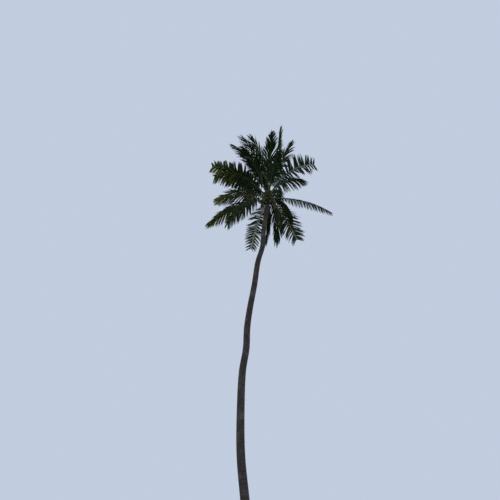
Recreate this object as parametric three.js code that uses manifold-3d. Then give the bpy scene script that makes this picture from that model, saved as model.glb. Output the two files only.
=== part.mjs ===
// A tall coconut palm: one slender, swaying trunk with a flared foot, a bulge of leaf sheaths at its
// tip, 27 open fronds and an unopened one, and five bunches of nuts under the lowest fronds.
// Millimetres, +Z up. The origin is the middle of the trunk's flat cut at ground level.
import * as THREE from "three";
import { mergeVertices } from "three/addons/utils/BufferGeometryUtils.js";
import Module from "manifold-3d";

const wasm = await Module();
wasm.setup();

// The trunk's middle line from the ground to its tip, as [height, sideways, away]
const TRUNK_LINE = [
  [0, 0, 0], [3400, -210, 100], [6400, -565, 220], [8200, -745, 290], [10400, -775, 340],
  [12200, -715, 330], [13400, -540, 300], [14600, -490, 250], [15700, -350, 190],
  [17200, -95, 100], [18700, 110, 20], [19800, 390, -30], [21000, 480, -50], [23400, 800, 0],
];
const FOOT_RADIUS = 230; // of the even taper, without the flare
const TIP_RADIUS = 130;
const FLARE = 200; // how far the foot swells out over the taper
const FLARE_HEIGHT = 550;
const NECK_SWELL = 18; // the trunk thickens again just under the sheaths
const NECK_HEIGHT = 500;
const TRUNK_SIDES = 15;
const TRUNK_STATIONS = 32;

// From here on, heights are counted from the trunk's tip, and sizes are those of the crown
const SHEATHS = [ // height, radius
  [0, 148], [250, 196], [600, 205], [950, 172], [1300, 118], [1550, 72],
];
const SHEATH_SIDES = 16;
const SPEAR_LENGTH = 2700;
const SPEAR_SHAPE = [ // share of its length, radius
  [0, 37], [0.12, 46], [0.5, 33], [0.8, 17],
];
const CLEAR = 0.3; // between a piece and what carries it

const LOWEST_FROND = 300; // where the oldest frond leaves the sheaths
const FROND_STEP = 28; // each younger frond leaves this much higher
const SUNK = 150; // how far inside the sheaths a stalk starts, before it is cut clear of them
const STEEPEST_START = 60; // degrees, when that start is worked out
const RIB_STEPS = 8;
const BEND_POWER = 1.4; // a frond bends more towards its thin tip
const RIB = [ // share of the frond's length, width, depth
  [0, 124, 60], [0.08, 88, 54], [0.22, 64, 48], [0.5, 48, 39], [0.8, 34, 30], [1, 20, 20],
];

const BLADE = [0.21, 0.985]; // where along the rib the first and the last leaflets root
const PAIRS = [5, 9]; // of leaflets, on a frond that is still folded and on a wide one
const WIDE = 0.9; // a frond counts as wide from here, see open below
const LEAFLET_LENGTH = 1000; // the longest
const LEAFLET_WIDTH = 190; // each leaflet stands for a spray of narrow ones
const LEAFLET_RIDGE = 13; // the height of the fold along its middle
const WIDEST = 0.4; // where along its length
const ROOT_WIDTH = 0.42; // of its own width, or else as far as the rib has room
const SHORTER = 0.34; // how leaflets shorten from the middle of the blade to its ends
const FOOT_SIZE = 0.45; // the first ones are shorter still
const FOOT_STRETCH = 0.22; // over this share of the blade
const OPEN_ANGLE = 68; // degrees off the rib that the leaflets at the foot of the blade stand at
const TIP_ANGLE = 20; // the same at its tip, where a frond has no fan of its own
const LIFT = [16, -6]; // degrees over the blade's plane, of a stiff and of a hanging leaflet
const SPREAD = 8; // degrees that a leaflet's directions vary by
const LEAF_GAP = 4; // least distance between leaflets of two fronds
const SEED = 7;

// Every frond, from the oldest to the youngest. toward is the direction it leaves in, in degrees
// (0 right, 90 away, 180 left, 270 near), and veer how far it has turned from it at its tip. rise is
// its slope at the sheaths, and fall how much of that slope it loses by its tip. roll turns the blade
// about the rib and hang says how far its leaflets droop. open is how wide they stand beside the
// usual, fan the angle of the last ones, and scale how long they are beside the usual.
const FRONDS = [
  { toward: 53, rise: -2, fall: 49, length: 3400, hang: 0, open: 0.92, fan: 60 },
  { toward: 262, rise: 4, fall: 52, length: 3400, hang: 1, open: 0.45, fan: 10, scale: 0.7 },
  { toward: 151, rise: 10, fall: 31, length: 4300, roll: 30, hang: 0.25, open: 0.9, fan: 10 },
  { toward: 10, rise: 10, fall: 46, length: 4100, hang: 1, open: 0.85, fan: 32, scale: 0.58 },
  { toward: 103, rise: 12, fall: 62, veer: 7, length: 4350, hang: 0, open: 1.1, fan: 66, scale: 0.8 },
  { toward: 184, rise: 11, fall: 48, length: 3080, roll: 30, hang: 0.1, open: 0.85, fan: 12 },
  { toward: 85, rise: 8, fall: 72, veer: 25, length: 3400, hang: 1, open: 0.35, fan: 10, scale: 0.8 },
  { toward: 32, rise: 22, fall: 106, veer: 54, length: 2550, hang: 1, open: 0.5, fan: 10, scale: 0.85 },
  { toward: 205, rise: 48, fall: 80, length: 4100, roll: 15, hang: 0, open: 0.9, fan: 66, scale: 0.85 },
  { toward: 66, rise: 12, fall: 86, veer: 54, length: 3600, hang: 1, open: 0.9 },
  { toward: 134, rise: 30, fall: 75, length: 3900, hang: 0.4, open: 0.8, fan: 35, scale: 0.9 },
  { toward: 246, rise: 34, fall: 80, length: 3600, hang: 0.3, open: 0.5, scale: 0.8 },
  { toward: 194, rise: 51, fall: 90, length: 3750, roll: 20, hang: 0.3, open: 0.95, fan: 60, scale: 0.9 },
  { toward: 333, rise: 62, fall: 97, length: 3700, roll: -15, hang: -0.2, open: 1.1, fan: 84 },
  { toward: 174, rise: 62, fall: 60, length: 3300, hang: 0.4 },
  { toward: 120, rise: 62, fall: 62, length: 3400, hang: 0.1, scale: 0.75 },
  { toward: 12, rise: 68, fall: 72, length: 3050, hang: 0.25, open: 0.75, fan: 10 },
  { toward: 282, rise: 40, fall: 70, length: 3300, hang: 0.3, open: 0.7 },
  { toward: 74, rise: 64, fall: 66, length: 3600, hang: 0.3 },
  { toward: 238, rise: 54, fall: 66, length: 3350, hang: 0.15, open: 0.5, fan: 12, scale: 0.9 },
  { toward: 213, rise: 75, fall: 60, length: 3850, roll: 50, hang: 0.05, open: 0.25, fan: 5 },
  { toward: 157, rise: 74, fall: 52, length: 3500, hang: 0.1, open: 0.75, scale: 0.7 },
  { toward: 336, rise: 77, fall: 48, veer: -42, length: 3650, hang: 0, open: 0.85, fan: 0, scale: 0.9 },
  { toward: 274, rise: 64, fall: 82, length: 3900, hang: 0, open: 0.52, fan: 12 },
  { toward: 241, rise: 63, fall: 62, veer: -8, length: 3750, hang: 0.05, open: 0.45, fan: 12 },
  { toward: 308, rise: 68, fall: 2, veer: -26, length: 4300, hang: 0, open: 0.08, fan: 1 },
  { toward: 250, rise: 74, fall: 54, veer: -18, length: 3600, hang: 0, open: 0.42, fan: 8, scale: 0.9 },
];

// What a leaflet tries in turn where it would touch another frond, before it is left out
const TRIES = [
  { droop: 0, lift: 0, size: 1 },
  { droop: 0.25, lift: -8, size: 1 },
  { droop: -0.15, lift: 12, size: 1 },
  { droop: 0.5, lift: -16, size: 0.85 },
  { droop: 0, lift: 0, size: 0.6 },
];

const BUNCHES_TOWARD = [308, 234, 164, 94, 22]; // degrees, as for the fronds
const BUNCH_HEIGHT = 190; // where its stalk leaves the sheaths
const BUNCH_SUNK = 60; // how far from the middle of the sheaths that stalk starts
const BUNCH_STALK = [ // distance from the middle, rise
  [60, 0], [205, 35], [305, -25], [350, -170], [350, -360],
];
const STALK_RADII = [27, 16];
const STALK_SIDES = 5;
const STALK_STEPS = 4;
const NUTS = [0.9, 0.66, 0.9, 0.66]; // where along the stalk each nut hangs
const NUT_LENGTH = 260;
const NUT_WIDTH = 200;
const NUT_OFFSET = 68; // from the stalk to a nut's middle line
const NUT_TILT = 0.35; // radians that a nut's foot stands out by

const UPWARD = new THREE.Vector3(0, 0, 1);
const { degToRad: radians, lerp, clamp } = THREE.MathUtils;

const bark = new THREE.MeshStandardMaterial({ color: 0x5d564c, roughness: 0.95 });
const fibre = new THREE.MeshStandardMaterial({ color: 0x6b5a3c, roughness: 0.95 });
const leaf = new THREE.MeshStandardMaterial({ color: 0x33451f, roughness: 0.6 });
const husk = new THREE.MeshStandardMaterial({ color: 0x5f6b2c, roughness: 0.55 });

// Numbers from 0 to 1 that come out the same on every run
function seededRandom(seed) {
  let state = seed;
  return () => {
    state = (Math.imul(state, 1664525) + 1013904223) >>> 0;
    return state / 2 ** 32;
  };
}

// Reads one column of a table at a position, between the positions in its first column
function readAt(table, position, column) {
  const above = clamp(table.findIndex((row) => row[0] >= position), 1, table.length - 1);
  const [low, high] = [table[above - 1], table[above]];
  const share = clamp((position - low[0]) / (high[0] - low[0]), 0, 1);
  return lerp(low[column], high[column], share);
}

// Solids and their meshes
function toSolid(geometry) {
  const bare = geometry.clone();
  bare.deleteAttribute("normal");
  bare.deleteAttribute("uv");
  const merged = mergeVertices(bare, 1e-3);
  return new wasm.Manifold(
    new wasm.Mesh({
      numProp: 3,
      vertProperties: new Float32Array(merged.attributes.position.array),
      triVerts: new Uint32Array(merged.index.array),
    }),
  );
}

function toMesh(name, solid, material) {
  const { vertProperties, triVerts } = solid.getMesh();
  const geometry = new THREE.BufferGeometry();
  geometry.setAttribute("position", new THREE.BufferAttribute(new Float32Array(vertProperties), 3));
  geometry.setIndex(new THREE.BufferAttribute(new Uint32Array(triVerts), 1));
  geometry.computeVertexNormals();
  const mesh = new THREE.Mesh(geometry, material.clone());
  mesh.name = name;
  return mesh;
}

// A closed skin over rings that each turn anticlockwise, seen from the last ring. A last ring of
// one point closes it to a tip.
function skin(rings) {
  const count = rings[0].length;
  const top = (rings.length - 1) * count;
  const faces = [];
  for (let k = 2; k < count; k++) faces.push(0, k, k - 1);
  for (let i = 1; i < rings.length; i++) {
    const [low, high] = [(i - 1) * count, i * count];
    for (let k = 0; k < count; k++) {
      const next = (k + 1) % count;
      if (rings[i].length === 1) faces.push(low + k, low + next, high);
      else faces.push(low + k, low + next, high + next, low + k, high + next, high + k);
    }
  }
  for (let k = 2; k < rings[rings.length - 1].length; k++) faces.push(top, top + k - 1, top + k);
  return toSolid(new THREE.BufferGeometry().setFromPoints(rings.flat()).setIndex(faces));
}

// A regular ring about a centre, from the first of two square directions towards the second
function ringAbout(centre, radius, sides, first, second) {
  return Array.from({ length: sides }, (_, k) => {
    const angle = (2 * Math.PI * k) / sides;
    return centre
      .clone()
      .addScaledVector(first, radius * Math.cos(angle))
      .addScaledVector(second, radius * Math.sin(angle));
  });
}

function levelRing(centre, radius, sides) {
  return ringAbout(centre, radius, sides, new THREE.Vector3(1, 0, 0), new THREE.Vector3(0, 1, 0));
}

// Trunk
const trunkLine = new THREE.CatmullRomCurve3(
  TRUNK_LINE.map(([height, sideways, away]) => new THREE.Vector3(sideways, away, height)),
  false,
  "centripetal",
);
const trunkTip = trunkLine.getPoint(1);

function trunkRadius(height) {
  const taper = lerp(FOOT_RADIUS, TIP_RADIUS, height / trunkTip.z);
  const flare = FLARE * Math.exp(-height / FLARE_HEIGHT);
  const swell = NECK_SWELL * Math.exp((height - trunkTip.z) / NECK_HEIGHT);
  return taper + flare + swell;
}

function buildTrunk() {
  const rings = [];
  for (let i = 0; i <= TRUNK_STATIONS; i++) {
    const share = (i / TRUNK_STATIONS) ** 1.25; // closer together on the flare
    const centre = trunkLine.getPoint(share);
    rings.push(levelRing(centre, trunkRadius(centre.z), TRUNK_SIDES));
  }
  return skin(rings);
}

// Sheaths: the fibrous bases of all the fronds round the bud, as one turned shape. With room to
// spare, it is also what cuts stalks clear of it.
function buildSheaths(room = 0) {
  const highest = SHEATHS[SHEATHS.length - 1][0];
  const profile = SHEATHS.map(
    ([height, radius]) => new THREE.Vector2(radius + room, clamp(height, CLEAR, highest + room)),
  );
  profile[0].y -= room;
  profile[profile.length - 1].y = highest + room;
  const closed = [new THREE.Vector2(0, profile[0].y), ...profile, new THREE.Vector2(0, highest + room)];
  return toSolid(new THREE.LatheGeometry(closed, SHEATH_SIDES).rotateX(Math.PI / 2));
}

function buildSpear() {
  const foot = SHEATHS[SHEATHS.length - 1][0] + CLEAR;
  const centreAt = (share) => new THREE.Vector3(0, 0, foot + share * SPEAR_LENGTH);
  const rings = SPEAR_SHAPE.map(([share, radius]) => levelRing(centreAt(share), radius, 6));
  return skin([...rings, [centreAt(1)]]);
}

// The rib of a frond, as evenly spaced stations: a point, the way the rib runs, its sideways
// direction and its upper side
function ribStations({ toward, rise, fall, veer = 0, roll = 0, length }, order) {
  const height = LOWEST_FROND + FROND_STEP * order;
  const steepness = radians(Math.min(rise, STEEPEST_START));
  const fullLength = length + SUNK / Math.cos(steepness);
  const distance = readAt(SHEATHS, height, 1) - SUNK;
  const point = new THREE.Vector3(distance, 0, height - SUNK * Math.tan(steepness));
  point.applyAxisAngle(UPWARD, radians(toward));
  const stations = [];
  const finer = 6;
  for (let i = 0; i <= RIB_STEPS * finer; i++) {
    const share = i / (RIB_STEPS * finer);
    const slope = radians(rise - fall * share ** BEND_POWER);
    const turn = radians(toward + veer * share ** 2);
    const level = new THREE.Vector3(Math.cos(turn), Math.sin(turn), 0);
    const run = level.clone().multiplyScalar(Math.cos(slope)).addScaledVector(UPWARD, Math.sin(slope));
    const side = UPWARD.clone().cross(level).applyAxisAngle(run, radians(roll) * share);
    if (i % finer === 0) {
      stations.push({ point: point.clone(), run, side, up: run.clone().cross(side) });
    }
    point.addScaledVector(run, fullLength / (RIB_STEPS * finer));
  }
  return stations;
}

// A place on the rib, on the straight stretch between two stations, so that leaflets root in it
function ribPlace(stations, share) {
  const index = Math.min(Math.floor(share * RIB_STEPS), RIB_STEPS - 1);
  const part = share * RIB_STEPS - index;
  const between = (key) => stations[index][key].clone().lerp(stations[index + 1][key], part);
  return {
    point: between("point"),
    run: between("run").normalize(),
    side: between("side").normalize(),
    up: between("up").normalize(),
  };
}

// Three-sided: flat above, keeled below, and narrowing to the tip
function buildRib(stations) {
  return skin(
    stations.map(({ point, side, up }, i) => {
      const width = readAt(RIB, i / RIB_STEPS, 1);
      const depth = readAt(RIB, i / RIB_STEPS, 2);
      return [
        point.clone().addScaledVector(side, width / 2).addScaledVector(up, depth / 3),
        point.clone().addScaledVector(side, -width / 2).addScaledVector(up, depth / 3),
        point.clone().addScaledVector(up, (-2 * depth) / 3),
      ];
    }),
  );
}

// Leaflets are longest a little before the middle of the blade, which runs from 0 to 1
function leafletLength(place) {
  const atFoot = lerp(FOOT_SIZE, 1, Math.min(1, place / FOOT_STRETCH));
  return LEAFLET_LENGTH * (1 - SHORTER * (2 * place - 0.8) ** 2) * atFoot;
}

// The ridged section of a leaflet, square to the way it runs
function leafletSection(centre, way, across, width, ridge) {
  return [
    centre.clone().addScaledVector(across, width / 2),
    centre.clone().addScaledVector(way.clone().cross(across), ridge),
    centre.clone().addScaledVector(across, -width / 2),
  ];
}

// One folded leaflet: its root sunk in the rib, its widest place and its tip, with a droop that
// sets in along the way. hand is 1 on one side of the rib and -1 on the other.
function buildLeaflet(frond, stations, place, hand, { droop, lift, sweep, size }) {
  const { hang, open = 1, fan = TIP_ANGLE, scale = 1 } = frond;
  const share = lerp(...BLADE, place);
  const { point, run, side, up } = ribPlace(stations, share);
  const length = leafletLength(place) * scale * size;
  const forward = radians(lerp(OPEN_ANGLE * open, fan, place) + Math.min(1, 0.3 + open) * sweep);
  const upward = radians(lerp(...LIFT, hang) + lift);
  const outward = side.multiplyScalar(hand * Math.cos(upward)).addScaledVector(up, Math.sin(upward));
  const aim = run.clone().multiplyScalar(Math.cos(forward)).addScaledVector(outward, Math.sin(forward));
  const pull = hang + droop;
  const near = aim.clone().addScaledVector(UPWARD, -0.75 * pull).normalize();
  const far = aim.clone().addScaledVector(UPWARD, -0.3 - 2.2 * pull).normalize();
  const between = near.clone().add(far).normalize();

  const across = run.multiplyScalar(-hand).projectOnPlane(near).normalize();
  const bend = new THREE.Quaternion().setFromUnitVectors(near, between);
  const width = LEAFLET_WIDTH * lerp(0.5, 1, length / LEAFLET_LENGTH) * lerp(0.6, 1, open);
  const room = readAt(RIB, share, 1);
  const rootWidth = Math.min(ROOT_WIDTH * width, (0.6 * room) / Math.max(0.4, Math.cos(forward)));
  const middle = point.clone().addScaledVector(near, WIDEST * length);
  const tip = middle.clone().addScaledVector(far, (1 - WIDEST) * length);
  return skin([
    leafletSection(point, near, across, rootWidth, 0.2 * room),
    leafletSection(middle, between, across.clone().applyQuaternion(bend), width, LEAFLET_RIDGE),
    [tip],
  ]);
}

// A bunch: a curved stalk out of the sheaths, with nuts pressed round its hanging end
function buildBunch(toward, order) {
  const out = new THREE.Vector3(1, 0, 0).applyAxisAngle(UPWARD, radians(toward));
  const side = UPWARD.clone().cross(out);
  const curve = new THREE.CatmullRomCurve3(
    BUNCH_STALK.map(([distance, rise]) => out.clone().multiplyScalar(distance).setZ(BUNCH_HEIGHT + rise)),
  );
  const rings = [];
  for (let i = 0; i <= STALK_STEPS; i++) {
    const share = i / STALK_STEPS;
    const upper = curve.getTangent(share).cross(side);
    rings.push(ringAbout(curve.getPoint(share), lerp(...STALK_RADII, share), STALK_SIDES, side, upper));
  }
  const nuts = NUTS.map((share, i) => {
    const turn = (2 * Math.PI * i) / NUTS.length + order;
    const hangs = curve.getPoint(share);
    const nut = new THREE.SphereGeometry(0.5, 7, 4).rotateX(Math.PI / 2);
    nut.scale(NUT_WIDTH, NUT_WIDTH, NUT_LENGTH).translate(0, 0, -NUT_LENGTH / 4);
    nut.rotateX(NUT_TILT * Math.sin(turn)).rotateY(-NUT_TILT * Math.cos(turn));
    nut.translate(NUT_OFFSET * Math.cos(turn), NUT_OFFSET * Math.sin(turn), 0);
    return toSolid(nut.translate(hangs.x, hangs.y, hangs.z));
  });
  return wasm.Manifold.union([skin(rings), ...nuts]);
}

// The largest shell of a solid alone: pockets that crossing leaflets seal are filled
function filled(solid) {
  return solid.decompose().reduce((best, shell) => (shell.volume() > best.volume() ? shell : best));
}

// What stands where, so that a leaflet can be kept clear of all but its own frond
const standing = [];

function stand(solid, owner) {
  standing.push({ solid, owner, box: solid.boundingBox() });
  return solid;
}

function isClear(solid, owner) {
  const { min, max } = solid.boundingBox();
  return standing.every((other) => {
    const apart = [0, 1, 2].some(
      (i) => min[i] - LEAF_GAP > other.box.max[i] || other.box.min[i] - LEAF_GAP > max[i],
    );
    return apart || other.owner === owner || solid.minGap(other.solid, LEAF_GAP) >= LEAF_GAP;
  });
}

function growLeaflets(frond, stations, order) {
  const random = seededRandom(SEED + order);
  const vary = (range) => range * (random() - 0.5);
  const leaflets = [];
  const count = 2 * Math.round(lerp(...PAIRS, Math.min(1, (frond.open ?? 1) / WIDE)));
  for (let i = 0; i < count; i++) {
    const hand = i % 2 ? 1 : -1;
    const place = i / (count - 1);
    const own = { sweep: vary(SPREAD), lift: vary(SPREAD), size: 1 + vary(0.16) };
    for (const { droop, lift, size } of TRIES) {
      const change = { droop, sweep: own.sweep, lift: own.lift + lift, size: own.size * size };
      const leaflet = buildLeaflet(frond, stations, place, hand, change);
      if (isClear(leaflet, order)) {
        leaflets.push(stand(leaflet, order));
        break;
      }
    }
  }
  return leaflets;
}

// The crown's pieces are worked out about the trunk's tip, where its group then stands
const palm = new THREE.Group();
const crown = new THREE.Group();
crown.position.copy(trunkTip);
palm.add(crown);

const trunk = buildTrunk();
palm.add(toMesh("trunk", trunk, bark));
stand(trunk.translate(trunkTip.clone().negate().toArray()), "trunk");

crown.add(toMesh("leaf_sheaths", stand(buildSheaths(), "sheaths"), fibre));
crown.add(toMesh("spear_leaf", stand(buildSpear(), "spear"), leaf));

const sheathRoom = buildSheaths(CLEAR);
BUNCHES_TOWARD.forEach((toward, order) => {
  const bunch = stand(buildBunch(toward, order).subtract(sheathRoom), "bunch");
  crown.add(toMesh(`nut_bunch_${order + 1}`, bunch, husk));
});

const stations = FRONDS.map(ribStations);
const ribs = stations.map((line, order) => stand(buildRib(line).subtract(sheathRoom), order));
FRONDS.forEach((frond, order) => {
  const leaflets = growLeaflets(frond, stations[order], order);
  const whole = filled(wasm.Manifold.union([ribs[order], ...leaflets]));
  crown.add(toMesh(`frond_${String(order + 1).padStart(2, "0")}`, whole, leaf));
});

export default palm;
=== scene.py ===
# %% [markdown]
# # A coconut palm, grown around its frame
# The frame is a set of plain solids with a real palm's sizes: a trunk, the leaf sheaths at its tip,
# an unopened leaf, five bunches of nuts and 27 fronds with a few broad leaflets each. This script
# gives each of them the surface of the real thing and keeps its place. Lengths are in metres, and
# the ground is at height zero.

import math

import bmesh
import bpy
import numpy as np
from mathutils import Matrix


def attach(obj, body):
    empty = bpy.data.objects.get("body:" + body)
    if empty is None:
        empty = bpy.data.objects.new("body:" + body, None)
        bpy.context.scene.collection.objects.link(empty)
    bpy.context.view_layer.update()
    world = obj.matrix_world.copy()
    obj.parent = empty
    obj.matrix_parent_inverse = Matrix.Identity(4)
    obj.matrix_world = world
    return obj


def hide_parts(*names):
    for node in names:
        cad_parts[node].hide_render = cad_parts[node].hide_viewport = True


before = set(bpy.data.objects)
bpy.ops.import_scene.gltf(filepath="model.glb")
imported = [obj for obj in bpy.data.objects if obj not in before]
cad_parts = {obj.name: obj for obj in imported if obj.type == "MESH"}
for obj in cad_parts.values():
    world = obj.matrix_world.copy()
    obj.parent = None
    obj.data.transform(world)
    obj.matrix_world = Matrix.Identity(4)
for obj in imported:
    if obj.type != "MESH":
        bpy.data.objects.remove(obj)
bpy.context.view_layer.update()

# %% [markdown]
# ## Camera
# The photograph was taken from the ground, looking up at a crown that stands 24 m high. The camera
# stands at eye height, 23 m from the trunk, and tilts up by 38 degrees. A lens as long as the
# sensor is wide gives a phone's field of view.

# %% Camera
scene = bpy.context.scene
EYE = (-0.34, -23.0, 1.6)
TILT_UP = 38  # degrees
SENSOR = 36  # mm
LENS = 36.07  # mm
FARTHEST = 1000  # that the camera sees, well past the floor's edge


def add_object(name, data):
    """Puts an object with this data into the scene."""
    made = bpy.data.objects.new(name, data)
    scene.collection.objects.link(made)
    return made


camera = add_object("camera", bpy.data.cameras.new("camera"))
camera.data.sensor_width = SENSOR
camera.data.lens = LENS
camera.data.clip_end = FARTHEST
camera.location = EYE
camera.rotation_euler = (math.radians(90 + TILT_UP), 0, 0)
scene.camera = camera
print("camera at", EYE, "tilted up by", TILT_UP, "degrees")

# %% [markdown]
# ## Colours and shader nodes
# Colours are easiest to choose as the hex values of a screen, which are stored with a curve.
# Shaders reckon in linear light, so one function undoes that curve. Another one sets a node's
# sockets or links them, a third adds a node with all that in one go, and the last starts a
# material. The world's few nodes are wired in the same way.

# %% Helpers for materials
MIX_FACTOR, MIX_FIRST, MIX_SECOND, MIX_COLOUR = 0, 6, 7, 2  # a colour Mix node's sockets
VALUE, FROM_LOW, FROM_HIGH, TO_LOW, TO_HIGH = range(5)  # a Map Range node's sockets


def linear(hex_value):
    """The linear colour of an sRGB hex value, with full opacity."""
    shares = [int(hex_value[i:i + 2], 16) / 255 for i in (0, 2, 4)]
    return [s / 12.92 if s <= 0.04045 else ((s + 0.055) / 1.055) ** 2.4 for s in shares] + [1]


def set_sockets(material, node, values):
    """Sets a node's sockets from a dictionary, or links them to the outputs that feed them."""
    for socket, value in values.items():
        if isinstance(value, bpy.types.NodeSocket):
            material.node_tree.links.new(value, node.inputs[socket])
        else:
            node.inputs[socket].default_value = value


def add_node(material, kind, inputs=None, **settings):
    """Adds a shader node, with its settings by name and its sockets from a dictionary."""
    node = material.node_tree.nodes.new("ShaderNode" + kind)
    for name, value in settings.items():
        setattr(node, name, value)
    set_sockets(material, node, inputs or {})
    return node


def new_material(name, sockets):
    """A material, its Principled shader, and the Object coordinates that its patterns read."""
    material = bpy.data.materials.new(name)
    material.use_nodes = True
    shader = material.node_tree.nodes["Principled BSDF"]
    set_sockets(material, shader, sockets)
    return material, shader, add_node(material, "TexCoord").outputs["Object"]


print("helpers for materials ready")

# %% [markdown]
# ## Light
# The palm is lit from behind its crown, so the camera sees its shaded side. A pale world lights it
# softly from all round, but hardly from below, as over dark ground, because the camera sees the
# undersides of the fronds. One broad lamp behind the crown rims them. The floor is a plain pale
# disc, wide enough for its edge to be lost in the distance, and it throws no light back up at the
# palm.

# %% World
SKY = "c6d1e4"
SKY_STRENGTH = 0.95
FROM_BELOW = 0.1  # how bright the world is below the horizon, beside the sky
DUSK = (-0.25, -0.05)  # the rises that it brightens between, all hidden by the floor

world = bpy.data.worlds.new("pale_sky_over_dark_ground")
world.use_nodes = True
looking = add_node(world, "TexCoord").outputs["Object"]
upwards = add_node(world, "SeparateXYZ", {"Vector": looking}).outputs["Z"]
brightness = add_node(world, "MapRange", {
    VALUE: upwards, FROM_LOW: DUSK[0], FROM_HIGH: DUSK[1],
    TO_LOW: SKY_STRENGTH * FROM_BELOW, TO_HIGH: SKY_STRENGTH,
}).outputs[0]
sky = world.node_tree.nodes["Background"]
set_sockets(world, sky, {"Color": linear(SKY), "Strength": brightness})
scene.world = world
scene.view_settings.view_transform = "Standard"
print("the world gives", SKY_STRENGTH, "above, and", FROM_BELOW, "of that below")

# %% Lamp and floor
SUN_HEIGHT = 52  # degrees above level, as seen from the camera
SUN_STRENGTH = 1.9
SUN_BREADTH = 12  # degrees across, for soft edges to its shadows
FLOOR_RADIUS = 500
FLOOR_SIDES = 96
FLOOR_DEPTH = 0.002  # just under the trunk's flat foot


def mesh_from(name, bm):
    """Turns a finished bmesh into a mesh and frees it."""
    mesh = bpy.data.meshes.new(name)
    bm.to_mesh(mesh)
    bm.free()
    return mesh


sun = add_object("sun", bpy.data.lights.new("sun", "SUN"))
sun.data.energy = SUN_STRENGTH
sun.data.angle = math.radians(SUN_BREADTH)
sun.rotation_euler = (math.radians(SUN_HEIGHT - 90), 0, 0)

floor_bm = bmesh.new()
bmesh.ops.create_circle(floor_bm, cap_ends=True, segments=FLOOR_SIDES, radius=FLOOR_RADIUS)
bmesh.ops.translate(floor_bm, verts=floor_bm.verts, vec=(0, 0, -FLOOR_DEPTH))
floor = add_object("floor", mesh_from("floor", floor_bm))
matt_floor, *_ = new_material("matt_pale_floor", {"Base Color": linear("c9c8c4"), "Roughness": 0.9})
floor.data.materials.append(matt_floor)
floor.visible_diffuse = False
print("floor", FLOOR_RADIUS * 2, "m across")

# %% [markdown]
# ## Tubes and joined copies
# Most of a palm is tube-shaped: the trunk, the ribs of its fronds, even a leaflet, which is a tube
# pressed flat. So one helper rolls a flat grid up into a straight tube and merges its seam. The
# coordinates only say where a point belongs: x and y give its place round the ring, and z counts
# the rings. The shape follows afterwards, worked out for all the points at once with numpy.
#
# A palm has some six thousand leaflets. A particle system or instances would be lost on export, so
# a second helper lays copies of one template's points end to end and makes a single mesh of them.

# %% Straight tubes
TURN = 2 * math.pi
DOUBLE = 1e-4  # points of a seam closer than this are one


def ring_tube(sides, rings, pointed=False):
    """A straight tube of unit radius, one long from ring to ring, closed or pointed at its end."""
    bm = bmesh.new()
    bmesh.ops.create_grid(bm, x_segments=sides, y_segments=rings - 1, size=0.5)
    for vert in bm.verts:
        angle = TURN * (vert.co.x + 0.5)
        ring = round((vert.co.y + 0.5) * (rings - 1))
        radius = 0 if pointed and ring == rings - 1 else 1
        vert.co = (radius * math.cos(angle), radius * math.sin(angle), ring)
    seam = [vert for vert in bm.verts if vert.is_boundary]
    bmesh.ops.remove_doubles(bm, verts=seam, dist=DOUBLE)
    bmesh.ops.holes_fill(bm, edges=bm.edges, sides=0)
    bmesh.ops.recalc_face_normals(bm, faces=bm.faces)
    return bm


print("a turn is", round(TURN, 4), "radians, and a seam closes within", DOUBLE, "m")

# %% Joined copies


def template_of(bm):
    """A bmesh as arrays: points, the corners of all faces in a row, and how many each face has."""
    bm.verts.index_update()
    points = np.array([vert.co[:] for vert in bm.verts])
    corners = np.array([vert.index for face in bm.faces for vert in face.verts])
    sizes = np.array([len(face.verts) for face in bm.faces])
    bm.free()
    return points, corners, sizes


def join_copies(name, template, placed, smooth=False):
    """One mesh of many copies of a template. placed holds the points of each copy."""
    _, corners, sizes = template
    copies, count = placed.shape[:2]
    mesh = bpy.data.meshes.new(name)
    mesh.vertices.add(copies * count)
    mesh.vertices.foreach_set("co", placed.astype(np.float32).ravel())
    mesh.loops.add(copies * len(corners))
    offsets = count * np.arange(copies)[:, None]
    mesh.loops.foreach_set("vertex_index", (corners + offsets).ravel())
    mesh.polygons.add(copies * len(sizes))
    ends = np.cumsum(np.tile(sizes, copies))
    mesh.polygons.foreach_set("loop_start", np.concatenate([[0], ends[:-1]]))
    mesh.polygons.foreach_set("use_smooth", np.full(copies * len(sizes), smooth))
    mesh.update(calc_edges=True)
    return mesh


def join_meshes(name, meshes):
    """Several meshes as one."""
    bm = bmesh.new()
    for mesh in meshes:
        bm.from_mesh(mesh)
        bpy.data.meshes.remove(mesh)
    return mesh_from(name, bm)


print("joined copies ready")

# %% Pieces, directions and tables
BODY = "root"


def add_piece(name, mesh, materials, nodes):
    """Makes a mesh a piece of the palm: its finish and body, and the nodes it stands for, which it
    hides.
    """
    piece = add_object(name, mesh)
    for material in materials:
        mesh.materials.append(material)
    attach(piece, BODY)
    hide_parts(*nodes)
    triangles = sum(len(face.vertices) - 2 for face in mesh.polygons)
    print(f"{name}: {triangles} triangles, stands for {len(nodes)} nodes")


def unit(vectors):
    """Vectors of length one."""
    return vectors / np.linalg.norm(vectors, axis=-1, keepdims=True)


def blend(first, second, share):
    """The value that is share of the way from the first to the second."""
    return first + (second - first) * share


def read_at(table, position, column):
    """Reads a column of a table at positions between those in its first column."""
    rows = np.array(table, float)
    return np.interp(position, rows[:, 0], rows[:, column])


print("every piece rides on", BODY)

# %% [markdown]
# ## The trunk's middle line
# The trunk sways to the left and back to the right, and slightly away from the camera and back.
# Its solid was swept along a spline through a few named points, and the same spline is written
# again here, so that the fine trunk lies exactly in the plain one. It is a centripetal Catmull-Rom
# spline, which passes through every point and doesn't loop where two of them lie close together.

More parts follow.
